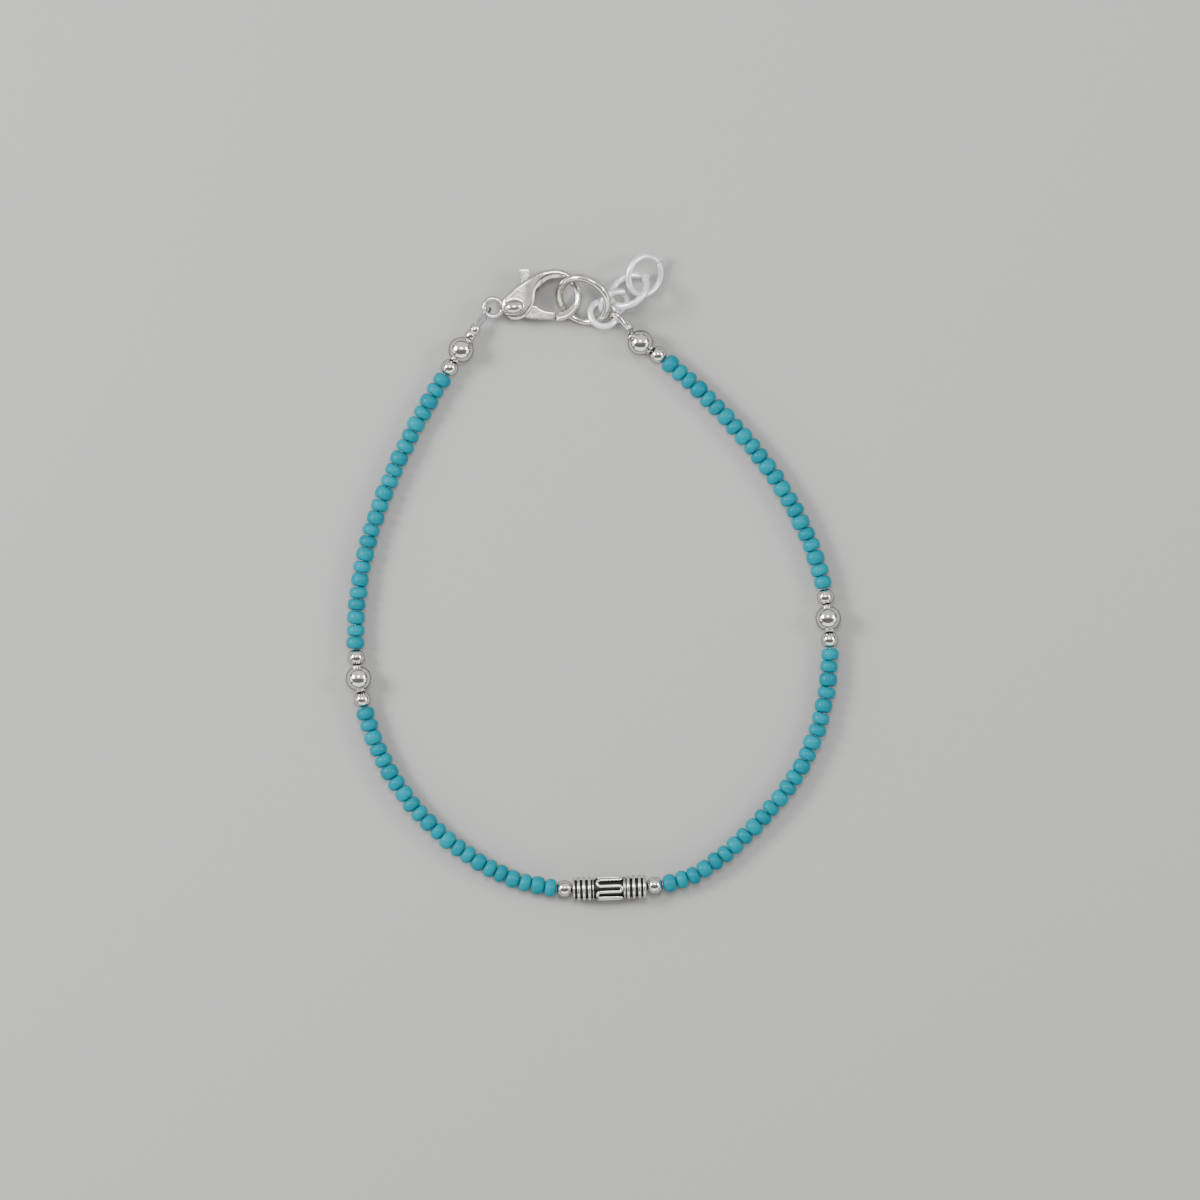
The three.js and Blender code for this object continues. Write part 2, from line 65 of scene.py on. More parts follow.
table_mesh = bpy.data.meshes.new("table")
half = TABLE_SIZE / 2
corners = [(-half, -half), (half, -half), (half, half), (-half, half)]
table_mesh.from_pydata([(x, y, -TABLE_DROP) for x, y in corners], [], [(0, 1, 2, 3)])
table = bpy.data.objects.new("table", table_mesh)
bpy.context.scene.collection.objects.link(table)
table_finish = bpy.data.materials.new("table")
table_finish.use_nodes = True
table_finish.node_tree.nodes["Principled BSDF"].inputs["Base Color"].default_value = TABLE_COLOUR
table_finish.node_tree.nodes["Principled BSDF"].inputs["Roughness"].default_value = TABLE_ROUGHNESS
table_mesh.materials.append(table_finish)


def softbox(name, place, width, depth, power):
    """A soft light panel that faces the bracelet."""
    panel = bpy.data.lights.new(name, "AREA")
    panel.shape = "RECTANGLE"
    panel.size, panel.size_y, panel.energy = width, depth, power
    light = bpy.data.objects.new(name, panel)
    light.location = place
    light.rotation_euler = (-Vector(place)).to_track_quat("-Z", "Y").to_euler()
    bpy.context.scene.collection.objects.link(light)


softbox("overhead_light", (0.0, 0.33, 0.42), 1.6, 0.85, 3.2)
softbox("lamp_left", (-0.4, 0.12, 0.32), 0.2, 0.16, 3.4)
softbox("lamp_middle", (0.0, 0.13, 0.42), 0.13, 0.1, 0.7)
softbox("lamp_right", (0.4, 0.1, 0.32), 0.16, 0.14, 1.1)
softbox("left_light", (-0.6, -0.05, 0.2), 0.4, 0.2, 0.6)
softbox("right_light", (0.6, -0.15, 0.28), 0.4, 0.25, 0.8)
softbox("front_light", (0.0, -0.5, 0.28), 1.2, 0.34, 2.2)
room = bpy.data.worlds.new("room")
room.use_nodes = True
room.node_tree.nodes["Background"].inputs["Color"].default_value = ROOM_GREY
bpy.context.scene.world = room


# The thread: the beads' places round the wrist, in millimetres. It starts in the middle of the
# tube bead and goes both ways to the clasp. Rows of like beads turn by so many degrees.
MM = 0.001
UP = Vector((0, 0, 1))
SEED_RADIUS = 1.075
SEED_WANDER = 0.26
SMALL_RADIUS = 1.0
LARGE_RADIUS = 1.5
LENGTHS = {"seed": 1.42, "small": 1.82, "large": 3.0, "tube": 8.6, "crimp": 1.8}
# How far a bead lifts the thread, along which half length, and over what fall on both sides
LIFTS = {"large": (0.425, 0, 4.1), "tube": (0.345, 4.3, 3.0)}
CRIMP_HEIGHT = 1.38
START = (1.91, -36.66)
START_HEADING = 2
SLACK_LEFT = 0.086
SLACK_RIGHT = 0.106
# The kinds of bead in turn, how many of each, and the degrees that the thread turns along them
RIGHT_ROUTE = [
    ("small", 1, 3), ("seed", 1, 5), ("seed", 3, 24), ("seed", 4, 11), ("seed", 4, 5), ("seed", 4, 15),
    ("seed", 4, 13), ("seed", 4, 11), ("small", 1, 3.25), ("large", 1, 3.25), ("small", 1, 3.25),
    ("seed", 1, 3.25), ("seed", 3, 10), ("seed", 4, 8), ("seed", 5, 10), ("seed", 5, 5), ("seed", 4, 6),
    ("small", 1, 3), ("large", 1, 3),
]
LEFT_ROUTE = [
    ("small", 1, -3), ("seed", 1, -5), ("seed", 5, -23), ("seed", 5, -13), ("seed", 5, -15),
    ("seed", 6, -18), ("small", 1, -3.5), ("large", 1, -3.5), ("small", 1, -3.5), ("seed", 1, -3.5),
    ("seed", 4, -8), ("seed", 6, -12), ("seed", 6, -7), ("seed", 6, -6), ("small", 1, -0.7),
    ("large", 1, -0.7), ("crimp", 1, -0.6),
]


def spread(index, factor):
    """A repeatable value from -0.5 to 0.5, so that no two beads in a row are alike."""
    return (index * factor) % 1 - 0.5


def walk_side(route, heading, slack):
    """One side's beads in turn: each is a step along the thread, which bends a little at each."""
    items = []
    x, y = START
    angle = heading
    last_length = LENGTHS["tube"]
    for kind, count, turn in route:
        half_turn = turn / count / 2
        for _ in range(count):
            step = (last_length + LENGTHS[kind]) / 2 + slack
            angle += half_turn
            x += step * math.cos(math.radians(angle))
            y += step * math.sin(math.radians(angle))
            angle += half_turn
            last_length = LENGTHS[kind]
            items.append(SimpleNamespace(kind=kind, length=LENGTHS[kind], x=x, y=y))
    return items


def thread_height(item, strand):
    """Each kind of larger bead lifts the thread so far, keeps it up along its own flat part, and
    lets it fall again over some way on both sides."""
    if item.kind == "crimp":
        return CRIMP_HEIGHT
    lifts = [0]
    for bead in strand:
        if bead.kind in LIFTS:
            lift, flat, fall = LIFTS[bead.kind]
            lifts.append(lift * (1 - max(0, abs(bead.along - item.along) - flat) / fall))
    return SEED_RADIUS + max(lifts)


def lay_strand():
    """Every bead from the crimp to the far end, with its place on the thread and its direction."""
    tube = SimpleNamespace(kind="tube", length=LENGTHS["tube"], x=START[0], y=START[1])
    left = walk_side(LEFT_ROUTE, START_HEADING + 180, SLACK_LEFT)
    items = [*reversed(left), tube, *walk_side(RIGHT_ROUTE, START_HEADING, SLACK_RIGHT)]
    along = 0
    for before, item in zip([items[0], *items], items):
        along += math.hypot(item.x - before.x, item.y - before.y)
        item.along = along
    for item in items:
        item.point = Vector((item.x, item.y, thread_height(item, items)))
    for i, item in enumerate(items):
        before, after = items[max(0, i - 1)], items[min(len(items) - 1, i + 1)]
        item.axis = (after.point - before.point).normalized()
    for end in (items[0], items[-1]):
        end.axis = Vector((end.axis.x, end.axis.y, 0)).normalized()
    return items


strand = lay_strand()


# Stringing wire: one length of fine steel cable through every bead, looped round the clasp's eye
# at one end and round the first link at the other. Six strands are laid round a middle one.
WIRE_RADIUS = 0.15
WIRE_SPACING = 0.12
WIRE_STRANDS = 6
WIRE_GROOVE = 0.09
WIRE_TWIST = 3.4
WIRE_SIDES = 24
CURVE_STEPS = 12
TUBE_STOPS = (-0.42, -0.2, 0, 0.2, 0.42)
# The loop round the eye, from the crimp's middle: along the thread, to the left and up
EYE_LOOP = [
    (-1.25, 0.19, 0.08), (-0.5, 0.2, 0.02), (0.4, 0.2, 0), (1, 0.2, 0.04), (1.45, 0.2, 0.17),
    (1.95, 0.2, 0.42), (2.35, 0.17, 0.64), (2.72, 0.1, 0.79), (2.98, 0.04, 0.82), (3.22, -0.03, 0.74),
    (3.38, -0.09, 0.57), (3.45, -0.14, 0.36), (3.43, -0.18, 0.12), (3.32, -0.22, -0.08),
    (3.1, -0.26, -0.2), (2.8, -0.3, -0.24), (2.4, -0.33, -0.2), (1.9, -0.33, -0.12),
    (1.35, -0.28, -0.05), (0.9, -0.21, 0), (0.4, -0.2, 0), (-0.5, -0.2, 0.02), (-1.25, -0.17, 0.08),
]
# The loop round the first link: its way in, the bend that the guard covers, and its way back
LOOP_START = [(5.14, 28.15, 1.49), (4.49, 28.61, 1.45), (4.47, 28.95, 1.36)]
LOOP_GUARDED = [
    (4.5, 29.3, 1.24), (4.2, 29.8, 1.1), (3.72, 30.12, 1), (3.2, 30.24, 0.97), (2.72, 30.33, 1.01),
    (2.4, 30.46, 1.12), (2.17, 30.6, 1.32), (2.04, 30.74, 1.6), (2.05, 30.86, 1.91),
    (2.18, 30.94, 2.16), (2.4, 30.97, 2.35), (2.67, 30.93, 2.46), (2.93, 30.76, 2.49),
    (3.18, 30.45, 2.46), (3.45, 30.08, 2.36), (3.74, 29.68, 2.2), (3.98, 29.34, 2),
]
LOOP_END = [
    (4.12, 29.02, 1.8), (4.2, 28.66, 1.64), (4.32, 28.35, 1.56), (4.62, 28.07, 1.5), (4.92, 27.89, 1.5),
]


def add_node(tree, kind, inputs=(), **settings):
    """Adds a node to a tree. An input is a value, or the output of another node."""
    node = tree.nodes.new(kind)
    for key, value in settings.items():
        setattr(node, key, value)
    for key, value in dict(inputs).items():
        if isinstance(value, bpy.types.NodeSocket):
            tree.links.new(value, node.inputs[key])
        else:
            node.inputs[key].default_value = value
    return node


def new_tree(name, **inputs):
    """An empty Geometry Nodes tree with these named inputs, and its input and output nodes."""
    tree = bpy.data.node_groups.new(name, "GeometryNodeTree")
    tree.interface.new_socket("Geometry", in_out="INPUT", socket_type="NodeSocketGeometry")
    tree.interface.new_socket("Geometry", in_out="OUTPUT", socket_type="NodeSocketGeometry")
    for label, kind in inputs.items():
        tree.interface.new_socket(label, in_out="INPUT", socket_type="NodeSocket" + kind)
    return tree, tree.nodes.new("NodeGroupInput").outputs, tree.nodes.new("NodeGroupOutput").inputs


def coat(tree, shape, given, result):
    """Ends a tree: makes its shape real and gives it the finish."""
    real = add_node(tree, "GeometryNodeRealizeInstances", {"Geometry": shape})
    coated = add_node(
        tree, "GeometryNodeSetMaterial", {"Geometry": real.outputs[0], "Material": given["Finish"]}
    )
    tree.links.new(coated.outputs[0], result["Geometry"])


def maths(tree, operation, *values):
    return add_node(tree, "ShaderNodeMath", dict(enumerate(values)), operation=operation).outputs[0]


def blended(tree, factor, first, second):
    """A colour between two others. In a Mix node, colours A and B are sockets 6 and 7."""
    return add_node(tree, "ShaderNodeMix", {0: factor, 6: first, 7: second}, data_type="RGBA").outputs[2]


def drawn_wire_tree():
    """Sweeps a round or stranded wire along a line of points."""
    tree, given, result = new_tree(
        "drawn_wire", Radius="Float", Sides="Int", Spacing="Float", Strands="Int", Groove="Float",
        Twist="Float", Caps="Bool", Finish="Material",
    )
    line = add_node(tree, "GeometryNodeMeshToCurve", {"Mesh": given["Geometry"]})
    smooth = add_node(
        tree, "GeometryNodeCurveSplineType", {"Curve": line.outputs[0]}, spline_type="CATMULL_ROM"
    )
    fine = add_node(
        tree, "GeometryNodeSetSplineResolution", {"Geometry": smooth.outputs[0], "Resolution": CURVE_STEPS}
    )
    even = add_node(
        tree, "GeometryNodeResampleCurve",
        {"Curve": fine.outputs[0], "Length": given["Spacing"]}, mode="LENGTH",
    )
    length = add_node(tree, "GeometryNodeSplineParameter").outputs["Length"]
    turn = maths(tree, "MULTIPLY", length, given["Twist"])
    twisted = add_node(tree, "GeometryNodeSetCurveTilt", {"Curve": even.outputs[0], "Tilt": turn})
    circle = add_node(
        tree, "GeometryNodeCurvePrimitiveCircle", {"Resolution": given["Sides"], "Radius": given["Radius"]}
    )
    factor = add_node(tree, "GeometryNodeSplineParameter").outputs["Factor"]
    angle = maths(tree, "MULTIPLY", maths(tree, "MULTIPLY", factor, math.tau), given["Strands"])
    bulge = maths(tree, "MULTIPLY", maths(tree, "COSINE", angle), given["Groove"])
    place = add_node(tree, "GeometryNodeInputPosition").outputs[0]
    offset = add_node(tree, "ShaderNodeVectorMath", {0: place, "Scale": bulge}, operation="SCALE")
    outline = add_node(
        tree, "GeometryNodeSetPosition", {"Geometry": circle.outputs[0], "Offset": offset.outputs[0]}
    )
    swept = add_node(
        tree, "GeometryNodeCurveToMesh",
        {"Curve": twisted.outputs[0], "Profile Curve": outline.outputs[0], "Fill Caps": given["Caps"]},
    )
    coat(tree, swept.outputs[0], given, result)
    return tree


def holder_of(mesh):
    holder = bpy.data.objects.new("holder", mesh)
    bpy.context.scene.collection.objects.link(holder)
    return holder


def taken_from(holder):
    """The finished mesh of a holder, which is then put away."""
    finished = holder.evaluated_get(bpy.context.evaluated_depsgraph_get())
    mesh = bpy.data.meshes.new_from_object(finished)
    bpy.data.objects.remove(holder)
    return mesh


def shaped_by(tree, mesh, **values):
    """Runs a tree on a starting mesh and gives its result as a plain mesh."""
    holder = holder_of(mesh)
    modifier = holder.modifiers.new("shape", "NODES")
    modifier.node_group = tree
    for socket in tree.interface.items_tree:
        if socket.in_out == "INPUT" and socket.name in values:
            modifier[socket.identifier] = values[socket.name]
    return taken_from(holder)


def point_line(points, closed=False):
    mesh = bpy.data.meshes.new("line")
    edges = [(i, i + 1) for i in range(len(points) - 1)]
    if closed:
        edges.append((len(points) - 1, 0))
    mesh.from_pydata(points, edges, [])
    return mesh


def add_piece(node, mesh, finish, body="bracelet", crease=40):
    """Puts a finished piece in its place, in metres, to stand for a CAD node."""
    mesh.transform(Matrix.Scale(MM, 4))
    mesh.materials.clear()
    mesh.materials.append(finish)
    mesh.shade_smooth()
    mesh.set_sharp_from_angle(angle=math.radians(crease))
    piece = bpy.data.objects.new(node + "_finished", mesh)
    bpy.context.scene.collection.objects.link(piece)
    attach(piece, body)
    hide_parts(node)


def surface_marks_group():
    """Broad patches and fine grain over a surface, each from 0 to 1, sized in millimetres."""
    group = bpy.data.node_groups.new("surface_marks", "ShaderNodeTree")
    for label, size in (("Patch size", 2), ("Grain size", 0.1)):
        socket = group.interface.new_socket(label, in_out="INPUT", socket_type="NodeSocketFloat")
        socket.default_value = size
    for label in ("Patch", "Grain"):
        group.interface.new_socket(label, in_out="OUTPUT", socket_type="NodeSocketFloat")
    given = group.nodes.new("NodeGroupInput").outputs
    result = group.nodes.new("NodeGroupOutput").inputs
    place = add_node(group, "ShaderNodeTexCoord").outputs["Object"]
    for label, detail in (("Patch", 3), ("Grain", 4)):
        scale = maths(group, "DIVIDE", 1 / MM, given[label + " size"])
        noise = add_node(group, "ShaderNodeTexNoise", {"Vector": place, "Scale": scale, "Detail": detail})
        group.links.new(noise.outputs["Fac"], result[label])
    return group


surface_marks = surface_marks_group()
TARNISH = (0.012, 0.011, 0.012, 1)
TARNISH_COVER = 0.97
TARNISH_ROUGHNESS = 0.25
GLANCING_TINT = (0.2, 0.2, 0.2, 1)
MARK_RANGE = {"From Min": 0.3, "From Max": 0.7}


def metal_finish(name, light, dark, rough, patch_size, grain_size, dents, grain_depth, bare=1.0):
    """Worn metal: its colour changes in patches and its roughness in a fine grain, and what lies
    deep is darker. A frosty skin on it leaves only part of the metal bare."""
    finish = bpy.data.materials.new(name)
    finish.use_nodes = True
    tree = finish.node_tree
    metal = tree.nodes["Principled BSDF"].inputs
    metal["Metallic"].default_value = bare
    metal["Specular Tint"].default_value = GLANCING_TINT
    marks = add_node(tree, "ShaderNodeGroup", node_tree=surface_marks)
    marks.inputs["Patch size"].default_value = patch_size
    marks.inputs["Grain size"].default_value = grain_size
    patch, grain = marks.outputs["Patch"], marks.outputs["Grain"]
    tone = add_node(tree, "ShaderNodeMapRange", {"Value": patch, **MARK_RANGE}).outputs[0]
    recess = add_node(tree, "ShaderNodeAttribute", attribute_name="recess").outputs["Fac"]
    shade = maths(tree, "MULTIPLY", recess, TARNISH_COVER)
    colour = blended(tree, shade, blended(tree, tone, dark, light), TARNISH)
    tree.links.new(colour, metal["Base Color"])
    gloss = add_node(
        tree, "ShaderNodeMapRange",
        {"Value": grain, **MARK_RANGE, "To Min": rough[0], "To Max": rough[1]},
    ).outputs[0]
    dulled = maths(tree, "ADD", gloss, maths(tree, "MULTIPLY", recess, TARNISH_ROUGHNESS))
    tree.links.new(dulled, metal["Roughness"])
    height = maths(
        tree, "ADD", maths(tree, "MULTIPLY", patch, dents), maths(tree, "MULTIPLY", grain, grain_depth)
    )
    bump = add_node(tree, "ShaderNodeBump", {"Height": height, "Strength": 1.0, "Distance": MM})
    tree.links.new(bump.outputs[0], metal["Normal"])
    return finish


def thread_points():
    """The thread through the beads, with more points along the straight tube bead."""
    points = []
    for item in strand[1:]:
        places = TUBE_STOPS if item.kind == "tube" else (0,)
        points += [item.point + item.axis * (place * item.length) for place in places]
    return points


drawn_wire = drawn_wire_tree()
cable_finish = metal_finish(
    "wire", light=(0.38, 0.39, 0.4, 1), dark=(0.26, 0.27, 0.28, 1), rough=(0.22, 0.34),
    patch_size=1.5, grain_size=0.05, dents=0, grain_depth=0.002,
)
forward = -strand[0].axis
left = UP.cross(forward)
eye_loop = [strand[0].point + forward * f + left * l + UP * u for f, l, u in EYE_LOOP]
wire_mesh = shaped_by(
    drawn_wire, point_line([*eye_loop, *thread_points(), *LOOP_START, *LOOP_GUARDED, *LOOP_END]),
    Radius=WIRE_RADIUS * (1 - WIRE_GROOVE), Sides=WIRE_SIDES, Spacing=WIRE_SPACING,
    Strands=WIRE_STRANDS, Groove=WIRE_GROOVE, Twist=WIRE_TWIST, Caps=True, Finish=cable_finish,
)
add_piece("bead_wire", wire_mesh, cable_finish, crease=60)


# Seed beads: small rounds of opaque turquoise glass, cut from a drawn tube and tumbled, so each
# differs a little in length, width, tone and lean. They sit close together on the thread.
SEED_BORE = 0.34
SEED_GAP = 0.05
SEED_SIDES = 28
SEED_STEPS = 20
SEED_SHOULDER = 0.4
SEED_SQUARENESS = 0.88
SEED_FOOT = 0.3
# By how much the beads differ, and the step in each difference from one bead to the next
GIRTH_SPREAD = 0.05
SIDE_SPREAD = 0.1
LEAN_SPREAD = 10
MEETING_STEP = 0.618034
GIRTH_STEP = 0.754878
SIDE_STEP = 0.324718
LEAN_STEP = 0.56984
TONE_STEP = 0.414214
TURQUOISE_LIGHT = (0.0, 0.214, 0.273, 1)
TURQUOISE_DARK = (0.0, 0.163, 0.217, 1)
TURQUOISE_SHINE = 0.11
TURQUOISE_ROUGH = (0.22, 0.38)
TURQUOISE_CLOUD = 0.9
TURQUOISE_PATCH_SIZE = 0.9
TURQUOISE_GRAIN_SIZE = 0.12
TURQUOISE_DENTS = 0.035
TURQUOISE_GRAIN_DEPTH = 0.006
RUN_NAMES = ["seed_run_back_left", "seed_run_front_left", "seed_run_front_right", "seed_run_back_right"]


def mesh_of(form, name):
    """A mesh made from a form, which is then put away."""
    mesh = bpy.data.meshes.new(name)
    form.to_mesh(mesh)
    form.free()
    return mesh


def turned(section, sides):
    """A turned shape about Z, from a closed section of (radius, height) that goes round a bore."""
    form = bmesh.new()
    rings = []
    for k in range(sides):
        angle = math.tau * k / sides
        cosine, sine = math.cos(angle), math.sin(angle)
        rings.append([form.verts.new((r * cosine, r * sine, h)) for r, h in section])
    for k in range(sides):
        here, beyond = rings[k], rings[(k + 1) % sides]
        for j in range(len(section)):
            up = (j + 1) % len(section)
            form.faces.new((here[j], beyond[j], beyond[up], here[up]))
    bmesh.ops.recalc_face_normals(form, faces=form.faces)
    return mesh_of(form, "turned")


def tumbled_section():
    """The wall of a bead one unit long and wide, tumbled round from its side to its shoulders."""
    bore = SEED_BORE / SEED_RADIUS
    section = []
    for k in range(SEED_STEPS):
        cosine, sine = math.cos(math.tau * k / SEED_STEPS), math.sin(math.tau * k / SEED_STEPS)
        out = math.copysign(abs(cosine) ** SEED_SQUARENESS, cosine)
        high = math.copysign(abs(sine) ** SEED_SQUARENESS, sine)
        reach = 1 - SEED_SHOULDER if cosine > 0 else SEED_SHOULDER - bore
        section.append((SEED_SHOULDER + reach * out, high / 2))
    return section


def strung_beads_tree():
    """Sets a bead on each point, along its lean, as long and as wide as the point says."""
    tree, given, result = new_tree("strung_beads", Bead="Object", Finish="Material")
    sizes = {}
    for name, kind in (("lean", "FLOAT_VECTOR"), ("span", "FLOAT"), ("girth", "FLOAT")):
        sizes[name] = add_node(
            tree, "GeometryNodeInputNamedAttribute", {"Name": name}, data_type=kind
        ).outputs["Attribute"]
    turn = add_node(tree, "FunctionNodeAlignRotationToVector", {"Vector": sizes["lean"]}, axis="Z")
    scale = add_node(
        tree, "ShaderNodeCombineXYZ", {"X": sizes["girth"], "Y": sizes["girth"], "Z": sizes["span"]}
    )
    bead = add_node(tree, "GeometryNodeObjectInfo", {"Object": given["Bead"], "As Instance": True})
    set_beads = add_node(
        tree, "GeometryNodeInstanceOnPoints",
        {
            "Points": given["Geometry"], "Instance": bead.outputs["Geometry"],
            "Rotation": turn.outputs[0], "Scale": scale.outputs[0],
        },
    )
    coat(tree, set_beads.outputs[0], given, result)
    return tree


def strung(template, rows, finish):
    """A mesh of one template bead set at each row's place, lean, span, girth and tone."""
    points = bpy.data.meshes.new("places")
    points.from_pydata([row.place for row in rows], [], [])
    points.attributes.new("lean", "FLOAT_VECTOR", "POINT")
    for name in ("span", "girth", "tone"):
        points.attributes.new(name, "FLOAT", "POINT")
    for i, row in enumerate(rows):
        points.attributes["lean"].data[i].vector = row.lean
        for name in ("span", "girth", "tone"):
            points.attributes[name].data[i].value = getattr(row, name)
    bead = holder_of(template)
    mesh = shaped_by(strung_beads, points, Bead=bead, Finish=finish)
    bpy.data.objects.remove(bead)
    return mesh


def meeting(i):
    """The point of the thread where two beads meet."""
    before, after = strand[i - 1], strand[i]
    if before.kind != "seed":
        return after.point - after.axis * (LENGTHS["seed"] / 2)
    if after.kind != "seed":
        return before.point + before.axis * (LENGTHS["seed"] / 2)
    return (before.point + after.point) / 2 + after.axis * (SEED_WANDER * spread(i, MEETING_STEP))


def seed_row(i):
    """How one bead sits: its place clear of the table, and its own lean, span, girth and tone."""
    axis = strand[i].axis
    start, end = meeting(i), meeting(i + 1)
    girth = SEED_RADIUS * (1 + GIRTH_SPREAD * spread(i, GIRTH_STEP))
    reach = SEED_FOOT * (end - start).length
    aside = SIDE_SPREAD * spread(i, SIDE_STEP)
    place = (start + end) / 2 + UP.cross(axis).normalized() * aside
    place.z = max(place.z, SEED_RADIUS + abs(axis.z) * reach) + girth - SEED_RADIUS
    lean = Quaternion(UP, math.radians(LEAN_SPREAD * spread(i, LEAN_STEP))) @ axis
    span = (end - start).length - SEED_GAP
    tone = spread(i, TONE_STEP) + 0.5
    return SimpleNamespace(place=place, lean=lean, span=span, girth=girth, tone=tone)


def turquoise_finish():
    """Opaque glass, a little cloudy, each bead in its own tone."""
    finish = bpy.data.materials.new("turquoise")
    finish.use_nodes = True
    tree = finish.node_tree
    glass = tree.nodes["Principled BSDF"].inputs
    glass["Specular IOR Level"].default_value = TURQUOISE_SHINE
    marks = add_node(tree, "ShaderNodeGroup", node_tree=surface_marks)
    marks.inputs["Patch size"].default_value = TURQUOISE_PATCH_SIZE
    marks.inputs["Grain size"].default_value = TURQUOISE_GRAIN_SIZE
    tone = add_node(tree, "ShaderNodeAttribute", attribute_name="tone").outputs["Fac"]
    cloud = maths(tree, "SUBTRACT", marks.outputs["Patch"], 0.5)
    blend = maths(tree, "ADD", tone, maths(tree, "MULTIPLY", cloud, TURQUOISE_CLOUD))
    tree.links.new(blended(tree, blend, TURQUOISE_DARK, TURQUOISE_LIGHT), glass["Base Color"])
    gloss = add_node(
        tree, "ShaderNodeMapRange",
        {"Value": marks.outputs["Grain"], "To Min": TURQUOISE_ROUGH[0], "To Max": TURQUOISE_ROUGH[1]},
    )
    tree.links.new(gloss.outputs[0], glass["Roughness"])
    height = maths(
        tree, "ADD", maths(tree, "MULTIPLY", marks.outputs["Patch"], TURQUOISE_DENTS),
        maths(tree, "MULTIPLY", marks.outputs["Grain"], TURQUOISE_GRAIN_DEPTH),
    )
    bump = add_node(tree, "ShaderNodeBump", {"Height": height, "Strength": 1.0, "Distance": MM})
    tree.links.new(bump.outputs[0], glass["Normal"])
    return finish


strung_beads = strung_beads_tree()
turquoise = turquoise_finish()
seed_bead = turned(tumbled_section(), SEED_SIDES)
run_starts = [i for i in range(1, len(strand)) if strand[i].kind == "seed" and strand[i - 1].kind != "seed"]
for node, first in zip(RUN_NAMES, run_starts):
    after = next(i for i in range(first, len(strand)) if strand[i].kind != "seed")
    rows = [seed_row(i) for i in range(first, after)]
    add_piece(node, strung(seed_bead, rows, turquoise), turquoise, crease=180)


# Silver balls: seamless hollow balls of bright silver, small ones of two millimetres and large
# ones of three. A large ball's bore ends in a short collar that stands out at both ends.
BALL_SIDES = 48
BALL_STEPS = 24
SMALL_BORE = 0.42
LARGE_BORE = 0.46
LARGE_COLLAR = 0.68
BORE_ROUNDING = 0.06
BORE_BREAK = 0.02
COLLAR_BREAK = 0.05
COLLAR_FILLET = 0.01
SMALL_NAMES = [
    "small_ball_end_left", "small_ball_left_back", "small_ball_left_front", "small_ball_tube_left",
    "small_ball_tube_right", "small_ball_right_front", "small_ball_right_back", "small_ball_end_right",
]
LARGE_NAMES = ["large_ball_end_left", "large_ball_left", "large_ball_right", "large_ball_end_right"]


def round_side(radius, end_radius):
    """A ball's outside from one end of its bore to the other."""
    start = math.asin(end_radius / radius)
    angles = [start + (math.pi - 2 * start) * k / BALL_STEPS for k in range(BALL_STEPS + 1)]
    return [(radius * math.sin(a), -radius * math.cos(a)) for a in angles]


def small_ball():
    side = round_side(SMALL_RADIUS, SMALL_BORE + BORE_ROUNDING)
    end = side[-1][1]
    mouth = [(SMALL_BORE + BORE_BREAK, end + BORE_BREAK), (SMALL_BORE, end)]
    return [*[(r, -h) for r, h in reversed(mouth)], *side, *mouth]


def large_ball():
    tip = LENGTHS["large"] / 2
    lip = [
        (LARGE_BORE, tip - BORE_ROUNDING), (LARGE_BORE + BORE_ROUNDING, tip),
        (LARGE_COLLAR - COLLAR_BREAK, tip), (LARGE_COLLAR, tip - BORE_ROUNDING),
    ]
    side = round_side(LARGE_RADIUS, LARGE_COLLAR + COLLAR_FILLET)
    return [*[(r, -h) for r, h in lip], *side, *reversed(lip)]


def on_thread(mesh, item):
    """Sets a piece made about Z on the thread, with its own X pointing up."""
    side = item.axis.cross(UP).normalized()
    over = side.cross(item.axis)
    turn = Matrix((over, -side, item.axis)).transposed()
    mesh.transform(Matrix.Translation(item.point) @ turn.to_4x4())
    return mesh


bright_silver = metal_finish(
    "bright_silver", light=(0.79, 0.765, 0.705, 1), dark=(0.66, 0.635, 0.58, 1), rough=(0.09, 0.16),
    patch_size=1.1, grain_size=0.16, dents=0.035, grain_depth=0.002,
)
for names, kind, section in ((SMALL_NAMES, "small", small_ball()), (LARGE_NAMES, "large", large_ball())):
    for node, item in zip(names, [item for item in strand if item.kind == kind]):
        add_piece(node, on_thread(turned(section, BALL_SIDES), item), bright_silver)


# Tube bead: a cast silver tube, blackened and then polished, so that what stands out is bright.
# Four rings close each end, and a wire bent to and fro runs round the barrel between them.
TUBE_RADIUS = 1.42
TUBE_BORE = 0.55
TUBE_CORE = 1.1
# Each ring's place along the tube and half width, and for the last two also their top
TUBE_RINGS = [
    (-4.2, 0.1), (-3.65, 0.19), (-3.02, 0.19), (-2.37, 0.19), (2.21, 0.19), (2.87, 0.19), (3.54, 0.19),
    (4.12, 0.17),
]
THIN_RING = (-1.93, 0.07, 1.33)
SHOULDER = (1.775, 0.155, 1.3)
# A ring's rounded edge from its top down: shares of its height and of its half width
RING_EDGE = [(1, 0.3), (0.88, 0.72), (0.6, 1), (0, 1)]
RING_SUNK = 0.05
RING_ROOT = 0.1
TUBE_SIDES = 64
CORE_INSET = 0.04
CORE_STEPS = 80
BLACK_FROM = 1.36
BLACK_TO = 1.18
END_POLISH = 0.12
END_FADE = 0.1
BAND_RADIUS = 0.18
BAND_FROM = -1.46
BAND_TO = 1.44
BAND_FIRST = 13.4
BAND_WIDE = 40
BAND_NARROW = 32
BAND_PAIRS = 5
BAND_ROW_STEPS = 6
BAND_BEND_STEPS = 8
BAND_SIDES = 16
BAND_SPACING = 0.08


